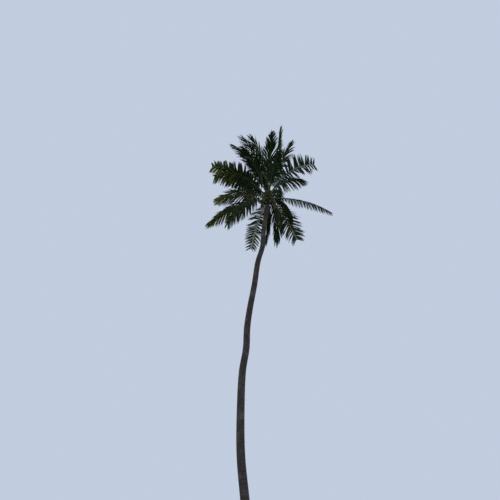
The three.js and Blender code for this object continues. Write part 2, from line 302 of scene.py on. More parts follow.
# %% A spline through points
TRUNK_LINE = [  # height, sideways, away
    (0, 0, 0), (3.4, -0.21, 0.1), (6.4, -0.565, 0.22), (8.2, -0.745, 0.29), (10.4, -0.775, 0.34),
    (12.2, -0.715, 0.33), (13.4, -0.54, 0.3), (14.6, -0.49, 0.25), (15.7, -0.35, 0.19),
    (17.2, -0.095, 0.1), (18.7, 0.11, 0.02), (19.8, 0.39, -0.03), (21, 0.48, -0.05), (23.4, 0.8, 0),
]
LINE_STEPS = 400


def spline(points, shares):
    """Places along a centripetal Catmull-Rom spline, for shares from 0 to 1 of its stretches."""
    points = np.array(points, float)
    before = 2 * points[0] - points[1]
    after = 2 * points[-1] - points[-2]
    knots = np.vstack([before, points, after])
    position = np.clip(np.asarray(shares, float), 0, 1) * (len(points) - 1)
    index = np.minimum(position.astype(int), len(points) - 2)
    part = (position - index)[:, None]
    a, b, c, d = (knots[index + i] for i in range(4))
    ab, bc, cd = (
        np.linalg.norm(q - p, axis=1, keepdims=True) ** 0.5
        for p, q in ((a, b), (b, c), (c, d))
    )
    start = ((b - a) / ab - (c - a) / (ab + bc) + (c - b) / bc) * bc
    end = ((c - b) / bc - (d - b) / (bc + cd) + (d - c) / cd) * bc
    square = 3 * (c - b) - 2 * start - end
    cube = 2 * (b - c) + start + end
    return b + part * (start + part * (square + part * cube))


trunk_line = spline(TRUNK_LINE, np.linspace(0, 1, LINE_STEPS))
TRUNK_HEIGHT, *TIP_PLACE = TRUNK_LINE[-1]
CROWN = np.array([*TIP_PLACE, TRUNK_HEIGHT])  # crown heights are counted from here


def trunk_middle(height):
    """How far sideways and away the trunk's middle stands at each height."""
    return [np.interp(height, trunk_line[:, 0], trunk_line[:, column]) for column in (1, 2)]


# %% [markdown]
# ## Trunk
# A coconut palm's trunk doesn't thicken with age. It keeps the scar of every leaf it has shed, as a
# raised lip with a groove over it, a hand's breadth apart low down and closer near the crown. Each
# scar is a crescent that tilts towards where its leaf stood, and the leaves follow each other by
# the golden angle. The scars could be painted on as bump, but they are part of the trunk's outline,
# so each one gets three rings of its own: lip, groove and the smooth bark up to the next scar.

# %% Rings of scars
FOOT_RADIUS = 0.23  # of the even taper, without the flare
TIP_RADIUS = 0.13
FLARE, FLARE_HEIGHT = 0.2, 0.55
NECK_SWELL, NECK_HEIGHT = 0.018, 0.5
FIRST_SCAR = 0.1  # above the ground, and the least from the last scar but one to the tip
SCAR_SPACING = (0.075, 0.042)  # at the foot and at the tip
UNEVEN = (0.75, 1.25)  # how much a spacing may differ from the usual
SCAR_PARTS = (0, 0.2, 0.55)  # where lip, groove and bark lie, as shares of the spacing
SCAR_RELIEF = (0.004, -0.0055, 0)
SCAR_TILT = 0.2  # of the spacing
GOLDEN_ANGLE = math.radians(137.5)
FOOT_RING = 0.05  # height of the one plain ring between the flat cut and the first scar
TIP_ROOM = 0.005  # between the topmost scar and the tip
trunk_random = np.random.default_rng(11)


def trunk_radius(height):
    taper = blend(FOOT_RADIUS, TIP_RADIUS, height / TRUNK_HEIGHT)
    flare = FLARE * np.exp(-height / FLARE_HEIGHT)
    swell = NECK_SWELL * np.exp((height - TRUNK_HEIGHT) / NECK_HEIGHT)
    return taper + flare + swell


def scar_heights():
    """Where each scar's lip lies, from the foot to the tip, unevenly spaced."""
    heights = [FIRST_SCAR]
    while heights[-1] < TRUNK_HEIGHT - FIRST_SCAR:
        usual = blend(*SCAR_SPACING, heights[-1] / TRUNK_HEIGHT)
        heights.append(heights[-1] + usual * trunk_random.uniform(*UNEVEN))
    return np.array(heights)


scars = scar_heights()
spacing = np.diff(scars, append=scars[-1] + SCAR_SPACING[1])
rows = (scars[:, None] + spacing[:, None] * np.array(SCAR_PARTS)).ravel()
rows = np.concatenate([[0, FOOT_RING], np.minimum(rows, TRUNK_HEIGHT - TIP_ROOM), [TRUNK_HEIGHT]])
row_scar = np.repeat(np.arange(len(scars)), len(SCAR_PARTS))
row_scar = np.concatenate([[0, 0], row_scar, [len(scars) - 1]])
row_relief = np.concatenate([[0, 0], np.tile(SCAR_RELIEF, len(scars)), [0]])
print(len(scars), "scars and", len(rows), "rings")

# %% Trunk mesh
TRUNK_SIDES = 48
SCAR_DEPTH, DEPTH_WAVE = 0.65, 0.35  # of the relief, and how far that varies round the trunk
WANDER = 0.004  # how far the trunk's outline wanders from a circle
FOLDS, FOLD_DEPTH, FOLD_HEIGHT = 11, 0.035, 0.45  # folds of the foot, which fade upwards


def shape_trunk(bm):
    """Moves each point of a straight tube to its place on the trunk, and returns the reliefs."""
    points = np.array([vert.co[:] for vert in bm.verts])
    angle = np.arctan2(points[:, 1], points[:, 0])
    row = np.rint(points[:, 2]).astype(int)
    scar = row_scar[row]
    inner = (row > 1) & (row < len(rows) - 1)
    tilt = SCAR_TILT * spacing[scar] * np.cos(angle - scar * GOLDEN_ANGLE)
    height = rows[row] + np.where(inner, tilt, 0)

    # Waves whose lengths don't fit each other vary the scars' depth, the outline and the folds
    wave = np.sin(2 * angle + 1.7 * scar) * np.sin(3 * angle - 2.3 * scar)
    relief = row_relief[row] * (SCAR_DEPTH + DEPTH_WAVE * wave)
    wander = WANDER * (np.sin(3 * angle + 0.5 * height) + 0.6 * np.sin(5 * angle - 0.9 * height))
    fold = np.abs(np.sin(0.5 * FOLDS * angle + 1.3 * np.sin(1.7 * height)))
    folds = -FOLD_DEPTH * (1 - fold) ** 2 * np.exp(-height / FOLD_HEIGHT)

    radius = trunk_radius(height) + relief + wander + folds
    sideways, away = trunk_middle(height)
    x, y = sideways + radius * np.cos(angle), away + radius * np.sin(angle)
    for vert, place in zip(bm.verts, np.stack([x, y, height], axis=1)):
        vert.co = place
    return relief / max(SCAR_RELIEF)


trunk_bm = ring_tube(TRUNK_SIDES, len(rows))
trunk_relief = shape_trunk(trunk_bm)
trunk_mesh = mesh_from("trunk", trunk_bm)
round_faces = [len(face.vertices) == 4 for face in trunk_mesh.polygons]  # all but the two ends
trunk_mesh.polygons.foreach_set("use_smooth", round_faces)
scar_layer = trunk_mesh.attributes.new("scar", "FLOAT", "POINT")
scar_layer.data.foreach_set("value", trunk_relief.astype(np.float32))
print("trunk from", round(rows[0], 3), "to", rows[-1], "m")

# %% [markdown]
# ### Bark
# A palm has no bark that peels, only the hardened skin of its stem: grey-brown, corky and dull,
# finely cracked along the trunk, and patched with grey lichen. The scars' grooves are darkened with
# painted shade, the deeper the darker, so that their lips look paler. The cracks are noise that is
# stretched thirty times in height. They are a few millimetres wide on a real trunk, and here about
# a centimetre, so that they show at all.

# %% Bark material
CRACKS_PER_METRE = 110
CRACK_STRETCH = 1 / 30
LICHEN_PATCHES = 2.2  # per metre


def make_bark():
    material, shader, place = new_material("palm_bark_weathered", {
        "IOR": 1.45, "Specular IOR Level": 0.25,
    })
    drawn = add_node(material, "Mapping", {
        "Vector": place, "Scale": (1, 1, CRACK_STRETCH),
    }).outputs[0]
    cracks = add_node(material, "TexNoise", {
        "Vector": drawn, "Scale": CRACKS_PER_METRE, "Detail": 4, "Roughness": 0.6,
    }).outputs["Fac"]
    lichen = add_node(material, "TexNoise", {
        "Vector": place, "Scale": LICHEN_PATCHES, "Detail": 6, "Roughness": 0.65,
    }).outputs["Fac"]
    scar = add_node(material, "Attribute", attribute_name="scar").outputs["Fac"]
    cracked = add_node(material, "MapRange", {
        VALUE: cracks, FROM_LOW: 0.38, FROM_HIGH: 0.62,
    }).outputs[0]
    skin = add_node(material, "Mix", {
        MIX_FACTOR: cracked, MIX_FIRST: linear("3a342e"), MIX_SECOND: linear("665d55"),
    }, data_type="RGBA").outputs[MIX_COLOUR]
    patchy = add_node(material, "MapRange", {
        VALUE: lichen, FROM_LOW: 0.5, FROM_HIGH: 0.72, TO_HIGH: 0.75,
    }).outputs[0]
    patched = add_node(material, "Mix", {
        MIX_FACTOR: patchy, MIX_FIRST: skin, MIX_SECOND: linear("827f7a"),
    }, data_type="RGBA").outputs[MIX_COLOUR]
    # Painted shade: the deeper a scar's groove, the more the bark goes towards a near-black brown
    groove_painted_shade = add_node(material, "MapRange", {
        VALUE: scar, FROM_LOW: -1.2, FROM_HIGH: 0.1, TO_LOW: 0.85, TO_HIGH: 0,
    }).outputs[0]
    colour = add_node(material, "Mix", {
        MIX_FACTOR: groove_painted_shade, MIX_FIRST: patched, MIX_SECOND: linear("2a231c"),
    }, data_type="RGBA").outputs[MIX_COLOUR]
    roughness = add_node(material, "MapRange", {
        VALUE: cracks, TO_LOW: 0.8, TO_HIGH: 0.98,
    }).outputs[0]
    bump = add_node(material, "Bump", {"Height": cracked, "Strength": 0.6, "Distance": 0.006})
    set_sockets(material, shader, {
        "Base Color": colour, "Roughness": roughness, "Normal": bump.outputs[0],
    })
    return material


add_piece("trunk_with_scars", trunk_mesh, [make_bark()], ["trunk"])

# %% [markdown]
# ## Leaf sheaths
# Each frond's foot wraps round the bud, and a brown cloth of fibres holds the feet together. The
# fibres grow as a true weave, like sacking, and fray as the frond ages. The bulge is a profile
# spun round the trunk's tip, with the overlapping feet as a spiral of ridges on it. The fraying is
# made of loose strands, since a frayed edge is outline and not surface.

# %% Profile of the sheaths
SHEATHS = [  # height, radius
    (0, 0.148), (0.25, 0.196), (0.6, 0.205), (0.95, 0.172), (1.3, 0.118), (1.55, 0.072),
]


def sheath_radius(height):
    return read_at(SHEATHS, height, 1)


print("the sheaths are", SHEATHS[-1][0], "m high,", 2 * sheath_radius(0.6), "m across their bulge")

# %% Sheath core
SHEATH_STEPS = 72
SHEATH_ROWS = 64
SHEATH_ENDS = (0.02, 0.01)  # how far its ends bulge, below and above
RIDGES = 5  # overlapping feet seen in one turn
RIDGE_CLIMB = 0.11  # the height in which a ridge winds round to the next one's place
RIDGE_HEIGHT = 0.016
FURROWS, FURROW_LEAN, FURROW_DEPTH = 36, 9, 0.003  # fine furrows between the fibres
NEAR_AXIS = 0.01  # points nearer to the axis than this stay on it


def spin_profile(profile, steps):
    """A closed shape of revolution about the Z axis, from a profile of (radius, height)."""
    bm = bmesh.new()
    line = [bm.verts.new((radius, 0, height)) for radius, height in profile]
    edges = [bm.edges.new(pair) for pair in zip(line, line[1:])]
    bmesh.ops.spin(bm, geom=line + edges, axis=(0, 0, 1), angle=TURN, steps=steps, use_merge=True)
    bmesh.ops.remove_doubles(bm, verts=bm.verts, dist=DOUBLE)
    bmesh.ops.recalc_face_normals(bm, faces=bm.faces)
    return bm


def build_sheath_core():
    heights = np.linspace(0, SHEATHS[-1][0], SHEATH_ROWS)
    below, above = SHEATH_ENDS
    profile = [(0, -below), *zip(sheath_radius(heights), heights), (0, heights[-1] + above)]
    bm = spin_profile(profile, SHEATH_STEPS)
    for vert in bm.verts:
        x, y, z = vert.co
        reach = math.hypot(x, y)
        if reach < NEAR_AXIS:
            continue
        angle = math.atan2(y, x)
        climb = (RIDGES * angle / TURN + z / RIDGE_CLIMB) % 1
        ridge = RIDGE_HEIGHT * (climb ** 0.5 - 0.4)  # rises fast and ends in a sharp edge
        furrow = FURROW_DEPTH * math.sin(FURROWS * angle + FURROW_LEAN * z)
        grown = (reach + ridge + furrow) / reach
        vert.co = (x * grown, y * grown, z)
    bmesh.ops.translate(bm, verts=bm.verts, vec=CROWN)
    mesh = mesh_from("sheath_core", bm)
    mesh.polygons.foreach_set("use_smooth", [True] * len(mesh.polygons))
    return mesh


sheath_core = build_sheath_core()
print("a sheath core of", len(sheath_core.polygons), "faces")

# %% Frayed fibres
STRANDS = 420
STRAND_SIDES, STRAND_RINGS = 3, 6
STRAND_THICKNESS = (0.0045, 0.0015)
STRAND_FOOT = (0, 1.25)  # the heights that strands start at
STRAND_LENGTH = (0.12, 0.34)
STRAND_LIFT = (0.005, 0.06)  # how far its tip stands off the sheaths
STRAND_DROOP = (-0.06, 0.16)
STRAND_ROOM = 0.012  # between the sheaths' profile and a strand's foot
STRAND_LEAN = 0.6  # how far it winds round them, as a share of its length
strand_random = np.random.default_rng(23)


def build_strands():
    """Loose strands of the sheaths' cloth, which cross each other as they climb."""
    def draw(low, high):
        return strand_random.uniform(low, high, (STRANDS, 1))

    template = template_of(ring_tube(STRAND_SIDES, STRAND_RINGS, pointed=True))
    x, y, ring = template[0].T
    share = ring / ring.max()
    angle, foot, length = draw(0, TURN), draw(*STRAND_FOOT), draw(*STRAND_LENGTH)
    hand = strand_random.choice([-1, 1], (STRANDS, 1))
    lift, droop = draw(*STRAND_LIFT), draw(*STRAND_DROOP)
    height = foot + length * share - droop * share ** 2
    thick = blend(*STRAND_THICKNESS, share)
    reach = sheath_radius(height) + STRAND_ROOM + lift * share ** 2 + thick * x
    turned = angle + hand * STRAND_LEAN * length * share / sheath_radius(foot)
    placed = np.stack([
        reach * np.cos(turned) - thick * y * np.sin(turned),
        reach * np.sin(turned) + thick * y * np.cos(turned),
        height,
    ], axis=-1)
    return join_copies("strands", template, placed + CROWN)


strands = build_strands()
print(STRANDS, "strands of", len(strands.polygons) // STRANDS, "faces")

# %% Sheath fibre material
FIBRES_PER_METRE = 160  # real ones are 1 to 2 mm apart, too fine to show, and these 6 mm
FIBRE_STRETCH = 0.08
STAINS_PER_METRE = 6


def make_sheath_fibre():
    """Dry plant fibre: dull, straw to dark brown, with threads drawn along the sheath."""
    material, shader, place = new_material("palm_sheath_fibre", {"Roughness": 0.92, "IOR": 1.5})
    drawn = add_node(material, "Mapping", {
        "Vector": place, "Scale": (1, 1, FIBRE_STRETCH),
    }).outputs[0]
    threads = add_node(material, "TexNoise", {
        "Vector": drawn, "Scale": FIBRES_PER_METRE, "Detail": 3,
    }).outputs["Fac"]
    stains = add_node(material, "TexNoise", {
        "Vector": place, "Scale": STAINS_PER_METRE, "Detail": 4,
    }).outputs["Fac"]
    thread = add_node(material, "Mix", {
        MIX_FACTOR: threads, MIX_FIRST: linear("3d3020"), MIX_SECOND: linear("766445"),
    }, data_type="RGBA").outputs[MIX_COLOUR]
    stained = add_node(material, "MapRange", {
        VALUE: stains, FROM_LOW: 0.45, FROM_HIGH: 0.7, TO_HIGH: 0.7,
    }).outputs[0]
    colour = add_node(material, "Mix", {
        MIX_FACTOR: stained, MIX_FIRST: thread, MIX_SECOND: linear("33281b"),
    }, data_type="RGBA").outputs[MIX_COLOUR]
    bump = add_node(material, "Bump", {"Height": threads, "Strength": 0.7, "Distance": 0.004})
    set_sockets(material, shader, {"Base Color": colour, "Normal": bump.outputs[0]})
    return material


sheath_fibre = make_sheath_fibre()
add_piece("sheath_core", sheath_core, [sheath_fibre], ["leaf_sheaths"])
add_piece("sheath_strands", strands, [sheath_fibre], ["leaf_sheaths"])

# %% [markdown]
# ## Fronds: the rib
# A frond is a rib up to four and a half metres long that leaves the sheaths in its own direction,
# rises and then bends under its own weight, more and more towards its thin tip. The table says how
# each of the 27 does so, from the oldest and lowest to the youngest, as read from the photograph.
# It is the table that the solids were grown from, so each fine rib lies in its plain one.

# %% Table of fronds
# toward is the direction it leaves in, in degrees (0 right, 90 away, 180 left, 270 near), and veer
# how far it has turned from it at its tip. rise is its slope at the sheaths, and fall how much of
# that slope it loses by its tip. roll turns the blade about the rib and hang says how far its
# leaflets droop. open is how wide they stand beside the usual, fan the angle of the last ones off
# the rib, and scale how long they are beside the usual. broad is how wide each fine leaflet is
# beside the usual, and lit marks the fronds whose tips the sun shines through.
FRONDS = [
    dict(toward=53, rise=-2, fall=49, length=3.4, hang=0, open=0.92, fan=60),
    dict(toward=262, rise=4, fall=52, length=3.4, hang=1, open=0.45, fan=10, scale=0.7),
    dict(toward=151, rise=10, fall=31, length=4.3, roll=30, hang=0.25, open=0.9, fan=10,
         broad=1.25, lit=0.6),
    dict(toward=10, rise=10, fall=46, length=4.1, hang=1, open=0.85, fan=32, scale=0.58, broad=0.8),
    dict(toward=103, rise=12, fall=62, veer=7, length=4.35, hang=0, open=1.1, fan=66, scale=0.8,
         lit=0.5),
    dict(toward=184, rise=11, fall=48, length=3.08, roll=30, hang=0.1, open=0.85, fan=12, lit=1),
    dict(toward=85, rise=8, fall=72, veer=25, length=3.4, hang=1, open=0.35, fan=10, scale=0.8),
    dict(toward=32, rise=22, fall=106, veer=54, length=2.55, hang=1, open=0.5, fan=10, scale=0.85),
    dict(toward=205, rise=48, fall=80, length=4.1, roll=15, hang=0, open=0.9, fan=66, scale=0.85,
         broad=1.5, lit=1),
    dict(toward=66, rise=12, fall=86, veer=54, length=3.6, hang=1, open=0.9),
    dict(toward=134, rise=30, fall=75, length=3.9, hang=0.4, open=0.8, fan=35, scale=0.9),
    dict(toward=246, rise=34, fall=80, length=3.6, hang=0.3, open=0.5, scale=0.8),
    dict(toward=194, rise=51, fall=90, length=3.75, roll=20, hang=0.3, open=0.95, fan=60, scale=0.9,
         broad=1.5, lit=1),
    dict(toward=333, rise=62, fall=97, length=3.7, roll=-15, hang=-0.2, open=1.1, fan=84),
    dict(toward=174, rise=62, fall=60, length=3.3, hang=0.4, broad=1.3),
    dict(toward=120, rise=62, fall=62, length=3.4, hang=0.1, scale=0.75),
    dict(toward=12, rise=68, fall=72, length=3.05, hang=0.25, open=0.75, fan=10),
    dict(toward=282, rise=40, fall=70, length=3.3, hang=0.3, open=0.7),
    dict(toward=74, rise=64, fall=66, length=3.6, hang=0.3),
    dict(toward=238, rise=54, fall=66, length=3.35, hang=0.15, open=0.5, fan=12, scale=0.9),
    dict(toward=213, rise=75, fall=60, length=3.85, roll=50, hang=0.05, open=0.25, fan=5),
    dict(toward=157, rise=74, fall=52, length=3.5, hang=0.1, open=0.75, scale=0.7),
    dict(toward=336, rise=77, fall=48, veer=-42, length=3.65, hang=0, open=0.85, fan=0, scale=0.9),
    dict(toward=274, rise=64, fall=82, length=3.9, hang=0, open=0.52, fan=12, broad=1.25),
    dict(toward=241, rise=63, fall=62, veer=-8, length=3.75, hang=0.05, open=0.45, fan=12,
         broad=0.7),
    dict(toward=308, rise=68, fall=2, veer=-26, length=4.3, hang=0, open=0.08, fan=1, broad=1.3),
    dict(toward=250, rise=74, fall=54, veer=-18, length=3.6, hang=0, open=0.42, fan=8, scale=0.9,
         broad=0.75),
]
frond_nodes = [f"frond_{order + 1:02d}" for order in range(len(FRONDS))]
print(len(FRONDS), "fronds, from", frond_nodes[0], "to", frond_nodes[-1])

# %% The course of a rib
LOWEST_FROND, FROND_STEP = 0.3, 0.028
SUNK = 0.15  # how far inside the sheaths a stalk starts
STEEPEST_START = 60  # degrees, when that start is worked out
RIB_STEPS = 48
BEND_POWER = 1.4
UPWARD = np.array([0.0, 0.0, 1.0])


def heading(turn):
    """The level direction at an angle, or at each of several."""
    return np.stack([np.cos(turn), np.sin(turn), 0 * turn], axis=-1)


def grow_rib(order, toward, rise, fall, length, veer=0, roll=0, **_):
    """The rib's stations: their shares of its length, points, and run, side and up directions."""
    height = LOWEST_FROND + FROND_STEP * order
    steepness = math.radians(min(rise, STEEPEST_START))
    full_length = length + SUNK / math.cos(steepness)
    share = np.linspace(0, 1, RIB_STEPS + 1)
    slope = np.radians(rise - fall * share ** BEND_POWER)[:, None]
    level = heading(np.radians(toward + veer * share ** 2))
    run = level * np.cos(slope) + UPWARD * np.sin(slope)
    flat_side = np.cross(UPWARD, level)
    rolled = (math.radians(roll) * share)[:, None]
    side = flat_side * np.cos(rolled) + np.cross(run, flat_side) * np.sin(rolled)
    start = level[0] * (sheath_radius(height) - SUNK)
    start += UPWARD * (height - SUNK * math.tan(steepness))
    steps = np.vstack([start + CROWN, run[:-1] * full_length / RIB_STEPS])
    point = np.cumsum(steps, axis=0)
    return dict(share=share, point=point, run=run, side=side, up=np.cross(run, side))


def rib_place(rib, share):
    """The point and the run, side and up directions at shares of the rib's length."""
    def between(key):
        return np.stack([np.interp(share, rib["share"], line) for line in rib[key].T], axis=-1)

    return between("point"), unit(between("run")), unit(between("side")), unit(between("up"))


ribs = [grow_rib(order, **frond) for order, frond in enumerate(FRONDS)]
tips = np.array([rib["point"][-1] for rib in ribs])
print("frond tips lie from", tips.min(axis=0).round(2), "to", tips.max(axis=0).round(2))

# %% [markdown]
# ### The rib's own shape
# The stalk is broad and clasping at the sheaths, hollowed above like a gutter and round below. It
# narrows within the first tenth of its length, and towards the tip it becomes a slender keel. A
# twelve-sided tube is enough for that. Its coordinates are read as a place round the section and a
# station along the rib, so one template serves all 27.

# %% Rib mesh
RIB = [  # share of the length, width, depth
    (0, 0.25, 0.05), (0.05, 0.19, 0.055), (0.09, 0.115, 0.054), (0.15, 0.082, 0.052),
    (0.22, 0.064, 0.048), (0.5, 0.048, 0.039), (0.8, 0.03, 0.024), (1, 0.008, 0.008),
]
RIB_SIDES = 12
ABOVE, BELOW = 1 / 3, 2 / 3  # how the depth is shared over and under the rib's line
GUTTER, GUTTER_WIDTH = 0.55, 0.5  # how deep and broad the gutter is, as shares of the stalk
GUTTER_END = 0.5  # where along the rib it has run out
YELLOWED = (1, 5, 6, 13, 25, 27)  # fronds whose ribs have turned pale


def build_ribs():
    template = template_of(ring_tube(RIB_SIDES, RIB_STEPS + 1))
    across, over, ring = template[0].T
    station = np.rint(ring).astype(int)
    share = station / RIB_STEPS
    hollow = GUTTER * np.exp(-(across / GUTTER_WIDTH) ** 2) * np.clip(1 - share / GUTTER_END, 0, 1)
    upper = ABOVE * np.sqrt(np.maximum(over, 0)) - hollow
    sideways = 0.5 * across * read_at(RIB, share, 1)
    upwards = np.where(over > 0, upper, BELOW * over) * read_at(RIB, share, 2)
    placed = [
        rib["point"][station]
        + sideways[:, None] * rib["side"][station]
        + upwards[:, None] * rib["up"][station]
        for rib in ribs
    ]
    return join_copies("ribs", template, np.array(placed), smooth=True), len(template[2])


rib_mesh, faces_per_rib = build_ribs()
rib_ages = [int(order + 1 in YELLOWED) for order in range(len(FRONDS))]
rib_mesh.polygons.foreach_set("material_index", np.repeat(rib_ages, faces_per_rib))
print(len(ribs), "ribs of", faces_per_rib, "faces")

# %% Rib material
STREAKS_PER_METRE = 9  # a streak is about a hand long
SPECKS_PER_METRE = 130  # real specks are 2 to 3 mm across, too small to show, and these 8 mm


def make_rib_skin(name, fresh, worn):
    """The waxy skin of a leaf stalk: smooth, with long pale streaks and small brown specks."""
    material, shader, place = new_material(name, {"Roughness": 0.45, "IOR": 1.45})
    streaks = add_node(material, "TexNoise", {
        "Vector": place, "Scale": STREAKS_PER_METRE, "Detail": 5,
    }).outputs["Fac"]
    specks = add_node(material, "TexNoise", {
        "Vector": place, "Scale": SPECKS_PER_METRE, "Detail": 2,
    }).outputs["Fac"]
    streaked = add_node(material, "Mix", {
        MIX_FACTOR: streaks, MIX_FIRST: linear(fresh), MIX_SECOND: linear(worn),
    }, data_type="RGBA").outputs[MIX_COLOUR]
    specked = add_node(material, "MapRange", {
        VALUE: specks, FROM_LOW: 0.62, FROM_HIGH: 0.72, TO_HIGH: 0.6,
    }).outputs[0]
    colour = add_node(material, "Mix", {
        MIX_FACTOR: specked, MIX_FIRST: streaked, MIX_SECOND: linear("4b3b22"),
    }, data_type="RGBA").outputs[MIX_COLOUR]
    bump = add_node(material, "Bump", {"Height": specks, "Strength": 0.3, "Distance": 0.001})
    set_sockets(material, shader, {"Base Color": colour, "Normal": bump.outputs[0]})
    return material


rib_green = make_rib_skin("frond_rib_green", "46552a", "5f6537")
rib_straw = make_rib_skin("frond_rib_straw", "857b48", "918052")
add_piece("frond_ribs", rib_mesh, [rib_green, rib_straw], frond_nodes)

# %% [markdown]
# ## Fronds: the leaflets
# Over two hundred narrow leaflets stand along each rib, in two rows. Each is folded like a roof
# along its midrib, stands out from the rib at first, and sags towards its tip. In the wind they
# lean together in small groups, which gives the blade its fringed edge. The rule is the one that
# the solids' broad leaflets follow, with the droop spread over six steps instead of two. The
# template is a tube of four sides: two sharp edges, the ridge and the hollow under it.

# %% Leaflet template
LEAFLET_LENGTH = 1.0
LEAFLET_WIDTH = 0.05
LEAFLET_OUTLINE = [  # share of the length, share of the width
    (0, 0.4), (0.1, 0.8), (0.28, 1), (0.5, 0.93), (0.72, 0.68), (0.88, 0.36), (1, 0),
]
FOLD = 0.24  # height of the ridge, as a share of the width
THICKNESS = 0.06  # at the ridge, as a share of the width
leaflet_shares = np.array([share for share, _ in LEAFLET_OUTLINE])
leaflet_template = template_of(ring_tube(4, len(LEAFLET_OUTLINE), pointed=True))
print("a leaflet has", len(leaflet_template[2]), "faces")

# %% How leaflets stand
BLADE = (0.2, 0.99)  # where along the rib the leaflets stand
PAIRS = 112
SHORTER, LONGEST = 0.34, 0.4  # how leaflets shorten from this place on the blade to its ends
FOOT_SIZE, FOOT_STRETCH = 0.45, 0.22  # the first ones are shorter still, over this share of it
NARROWER, NARROWER_SHUT = 0.5, 0.75  # width of the shortest leaflets, and of a shut blade's
OPEN_ANGLE = 68  # degrees off the rib that the leaflets at the foot of the blade stand at
TIP_ANGLE = 20  # the same at its tip, where a frond has no fan of its own
LIFT = (16, -6)  # degrees over the blade's plane, of a stiff and of a hanging leaflet
SAG, SAG_BY_HANG = 0.4, 3.3  # how a stiff leaflet sags towards its tip, and what hang adds
ROOT_PLACE = 0.35  # of the rib's width, from its middle
PLACE_SPREAD, SWEEP_SPREAD, LIFT_SPREAD, SIZE_SPREAD, DROOP_SPREAD = 0.1, 3, 5, 0.08, 0.06
SHUT_SPREAD = 0.3  # how much of the sweep's spread a shut blade has
GROUP = 6.5  # leaflets that lean together
GROUP_SWEEP, GROUP_LIFT, GROUP_DROOP = 3, 4, 0.09
CONVERGE = 7  # degrees that a group's outer leaflets lean in by
print("leaflets to grow:", 2 * PAIRS * len(FRONDS))

# %% Leaflets along a rib
LEAFLET_SEED = 100  # each frond counts on from it


def grow_leaflets(rib, order, hang, open=1, fan=TIP_ANGLE, scale=1, broad=1, **_):
    """The lines, directions and widths of a frond's leaflets, and their places on the blade."""
    random = np.random.default_rng(LEAFLET_SEED + order)
    place = np.repeat(np.linspace(0, 1, PAIRS), 2)
    place = np.clip(place + random.normal(0, PLACE_SPREAD / PAIRS, 2 * PAIRS), 0, 1)
    hand = np.tile([-1, 1], PAIRS)[:, None]
    count = len(place)

    group_place = place * PAIRS / GROUP + np.tile(random.uniform(0, 1, 2), PAIRS)
    group = 2 * group_place.astype(int) + np.tile([0, 1], PAIRS)
    in_group = group_place % 1 - 0.5
    draws = random.normal(0, 1, (group.max() + 1, 3))[group]
    sweep = GROUP_SWEEP * draws[:, 0] + 2 * CONVERGE * in_group
    sweep += random.normal(0, SWEEP_SPREAD, count)
    lift = GROUP_LIFT * draws[:, 1] + random.normal(0, LIFT_SPREAD, count)
    pull = hang + np.abs(GROUP_DROOP * draws[:, 2]) + random.uniform(0, DROOP_SPREAD, count)
    size = 1 + random.normal(0, SIZE_SPREAD, count)

    share = blend(*BLADE, place)
    point, run, side, up = rib_place(rib, share)
    grown = 1 - SHORTER * (2 * place - 2 * LONGEST) ** 2
    grown *= np.interp(place, [0, FOOT_STRETCH], [FOOT_SIZE, 1])
    length = (LEAFLET_LENGTH * scale * grown * size)[:, None]
    forward = blend(OPEN_ANGLE * open, fan, place) + min(1, SHUT_SPREAD + open) * sweep
    forward = np.radians(forward)[:, None]
    upward = np.radians(blend(*LIFT, hang) + lift)[:, None]
    outward = side * hand * np.cos(upward) + up * np.sin(upward)
    aim = run * np.cos(forward) + outward * np.sin(forward)

    centres = [point + side * hand * ROOT_PLACE * read_at(RIB, share, 1)[:, None]]
    ways = []
    for low, high in zip(leaflet_shares, leaflet_shares[1:]):
        sag = (SAG + SAG_BY_HANG * pull[:, None]) * (low + high) / 2
        ways.append(unit(aim - UPWARD * sag))
        centres.append(centres[-1] + ways[-1] * length * (high - low))
    ways.append(ways[-1])
    across = unit(-hand * run - ways[0] * np.sum(-hand * run * ways[0], axis=1, keepdims=True))
    width = broad * LEAFLET_WIDTH * blend(NARROWER, 1, length) * blend(NARROWER_SHUT, 1, open)
    return (centres, ways, across, width), place


print("leaflets stand", OPEN_ANGLE, "degrees off the rib at first, and", TIP_ANGLE, "at its tip")

# %% The skin of a leaflet


def skin_leaflets(centres, ways, across, width):
    """Lays the template's points round each leaflet's line, and turns its edges as little as it can.

    A ring has four points: two edges, the ridge, and the hollow under it.
    """
    points = leaflet_template[0]
    ring = np.rint(points[:, 2]).astype(int)
    placed = np.zeros((len(width), len(points), 3))
    for index, (_, outline) in enumerate(LEAFLET_OUTLINE):
        way = ways[index]
        across = unit(across - way * np.sum(across * way, axis=1, keepdims=True))
        over = np.cross(way, across)
        here = width * outline
        for number in np.flatnonzero(ring == index):
            x, y = points[number, :2]
            ridge = FOLD if y > 0.5 else FOLD - THICKNESS if y < -0.5 else 0
            placed[:, number] = centres[index] + across * 0.5 * x * here + over * ridge * here
    return placed


print("a usual leaflet's ridge is", FOLD * LEAFLET_WIDTH, "m high")

# %% [markdown]
# ### Leaflets that would pass through wood
# A hanging leaflet may meet the trunk. A real one is pushed aside, and here one that would cut into
# the trunk or the sheaths is left out, as in the solids. With this table of fronds none has to be.

# %% Keep clear of the trunk
ROOM = 0.02


def clear_of_trunk(placed):
    """Which leaflets keep outside the trunk and the sheaths with all their points."""
    x, y, z = np.moveaxis(placed, -1, 0)
    sideways, away = trunk_middle(z)
    over = z - TRUNK_HEIGHT
    below, beside = trunk_radius(np.minimum(z, TRUNK_HEIGHT)), sheath_radius(np.maximum(over, 0))
    radius = np.where(over < 0, below, beside)
    radius = np.where(over > SHEATHS[-1][0], 0, radius + ROOM)
    return (np.hypot(x - sideways, y - away) > radius).all(axis=1)


print("room round the trunk:", ROOM, "m")
